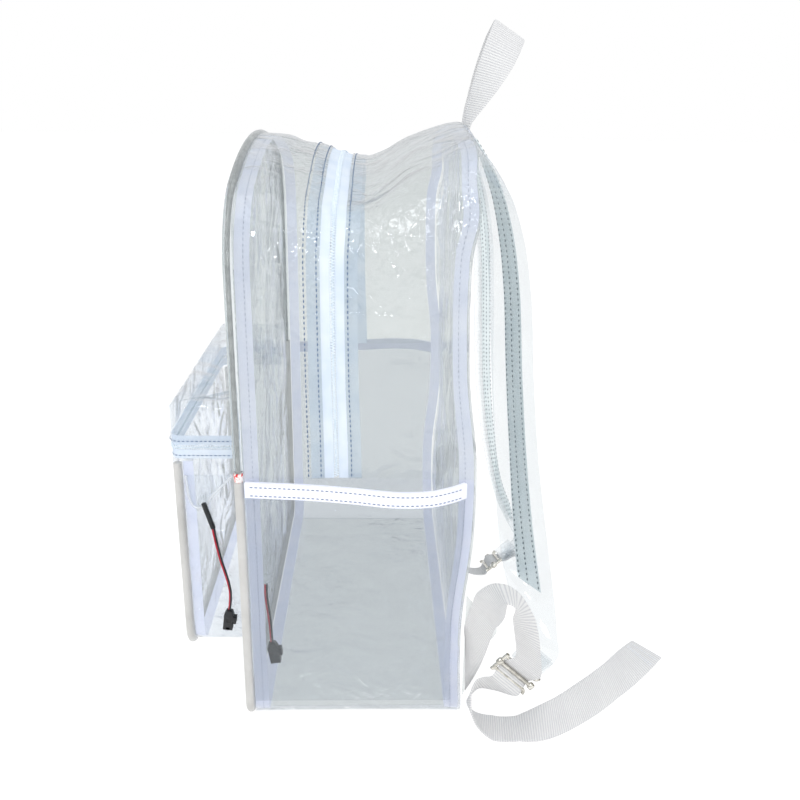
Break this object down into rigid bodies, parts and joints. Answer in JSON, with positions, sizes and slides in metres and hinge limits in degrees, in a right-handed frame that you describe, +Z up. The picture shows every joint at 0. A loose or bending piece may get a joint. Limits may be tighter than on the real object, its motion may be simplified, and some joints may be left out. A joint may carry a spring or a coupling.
{
  "type": "clear backpack",
  "caption": "Clear film backpack with a zipped top, front and side pockets, edge piping, webbing-backed shoulder straps and a grab loop.",
  "frame": {"origin": "middle of the base panel's underside, on the surface that the bag stands on", "axes": "+Z up, -Y towards the front pocket, +Y towards the wearer's back, +X to the side that shows in the picture"},
  "size_m": [0.3579, 0.3528, 0.4643],
  "materials": {
    "clear_film": "clear flexible film, glossy, with soft creases",
    "tape": "semi-translucent woven tape with stitching",
    "webbing": "ribbed white webbing",
    "light_pipe": "clear soft light guide",
    "conduit": "opaque soft piping",
    "lamp": "small lamp housing",
    "metal": "plated wire, lightly worn",
    "black_plastic": "moulded plastic",
    "wire": "red and black insulated wires"
  },
  "bodies": {
    "root": {"anchor_tab_left": "clear_film", "anchor_tab_right": "clear_film", "back_panel": "clear_film", "back_seam_binding": "tape", "bag_lead": "wire", "bag_lead_connector": "black_plastic", "base_panel": "clear_film", "cable_tab": "clear_film", "front_panel": "clear_film", "front_seam_binding": "tape", "glide_bar_left": "metal", "glide_bar_right": "metal", "glide_frame_left": "metal", "glide_frame_right": "metal", "grab_loop": "webbing", "lead_sleeve": "black_plastic", "led_head": "lamp", "light_conduit": "conduit", "light_pipe": "light_pipe", "lower_wall_left": "clear_film", "lower_wall_right": "clear_film", "lower_webbing_left": "webbing", "lower_webbing_right": "webbing", "pocket_binding": "tape", "pocket_front_panel": "clear_film", "pocket_lead": "wire", "pocket_lead_connector": "black_plastic", "pocket_lid": "clear_film", "pocket_piping": "conduit", "pocket_side_wall": "clear_film", "pocket_zip_coil": "tape", "pocket_zip_pull": "metal", "pocket_zip_slider": "metal", "pocket_zip_tape_lower": "tape", "pocket_zip_tape_upper": "tape", "shoulder_strap_left": "clear_film", "shoulder_strap_right": "clear_film", "side_pocket_hem_left": "tape", "side_pocket_hem_right": "tape", "side_pocket_left": "clear_film", "side_pocket_right": "clear_film", "strap_keeper_left": "clear_film", "strap_keeper_right": "clear_film", "strap_strip_left": "webbing", "strap_strip_right": "webbing", "upper_wall_front": "clear_film", "upper_wall_rear": "clear_film", "zip_coil": "tape", "zip_pull": "metal", "zip_slider": "metal", "zip_tape_front": "tape", "zip_tape_rear": "tape"}
  },
  "joints": []
}
